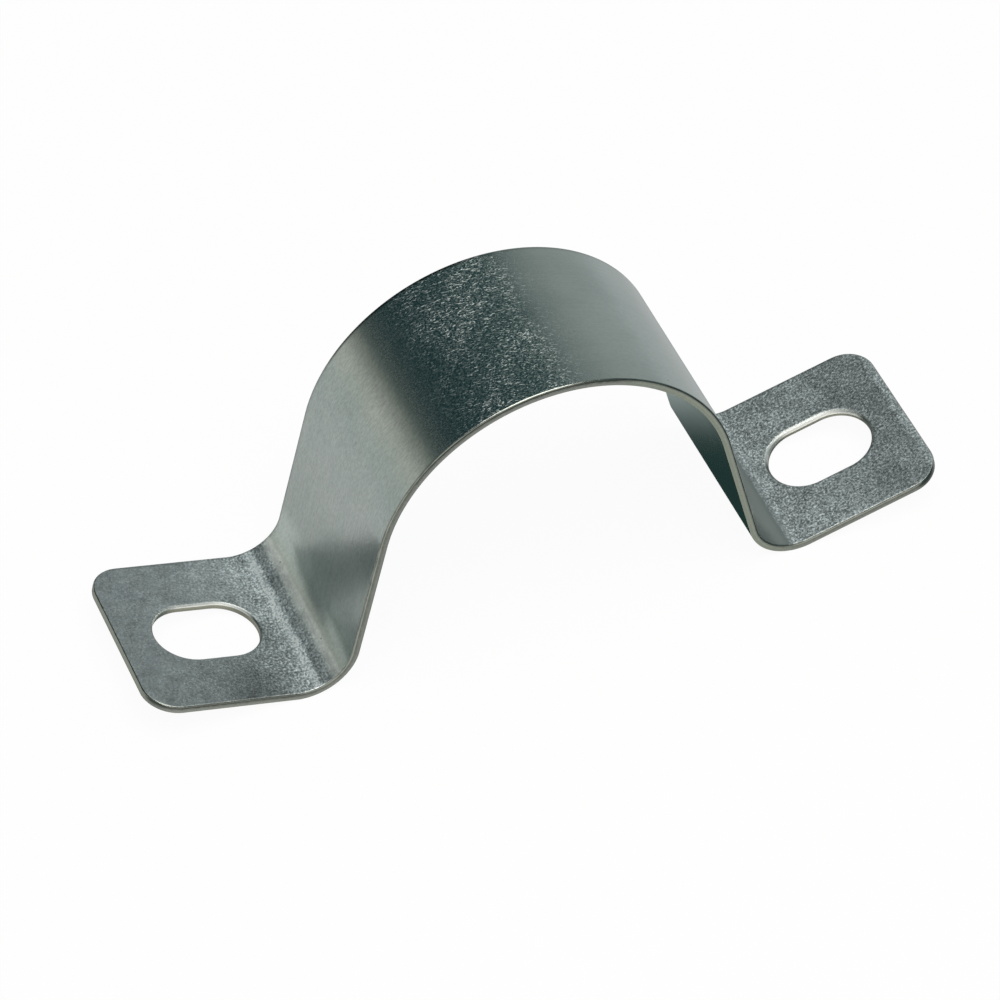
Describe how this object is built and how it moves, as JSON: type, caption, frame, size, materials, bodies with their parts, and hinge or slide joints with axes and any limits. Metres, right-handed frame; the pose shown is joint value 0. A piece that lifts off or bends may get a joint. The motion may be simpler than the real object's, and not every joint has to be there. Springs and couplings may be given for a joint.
{
  "type": "conduit strap",
  "caption": "Conduit strap folded from steel strip: a round arch over the conduit, straight legs and a slotted foot on each side whose toe stays raised until it is screwed down.",
  "frame": {"origin": "on the wall plane, under the middle of the arch, midway across the strip", "axes": "+X from the left foot to the right foot, +Y along the conduit, +Z away from the wall to the crown"},
  "size_m": [0.0836, 0.02, 0.0317],
  "materials": {
    "zinc_plated_steel": "satin"
  },
  "bodies": {
    "root": {"strap": "zinc_plated_steel"}
  },
  "joints": []
}
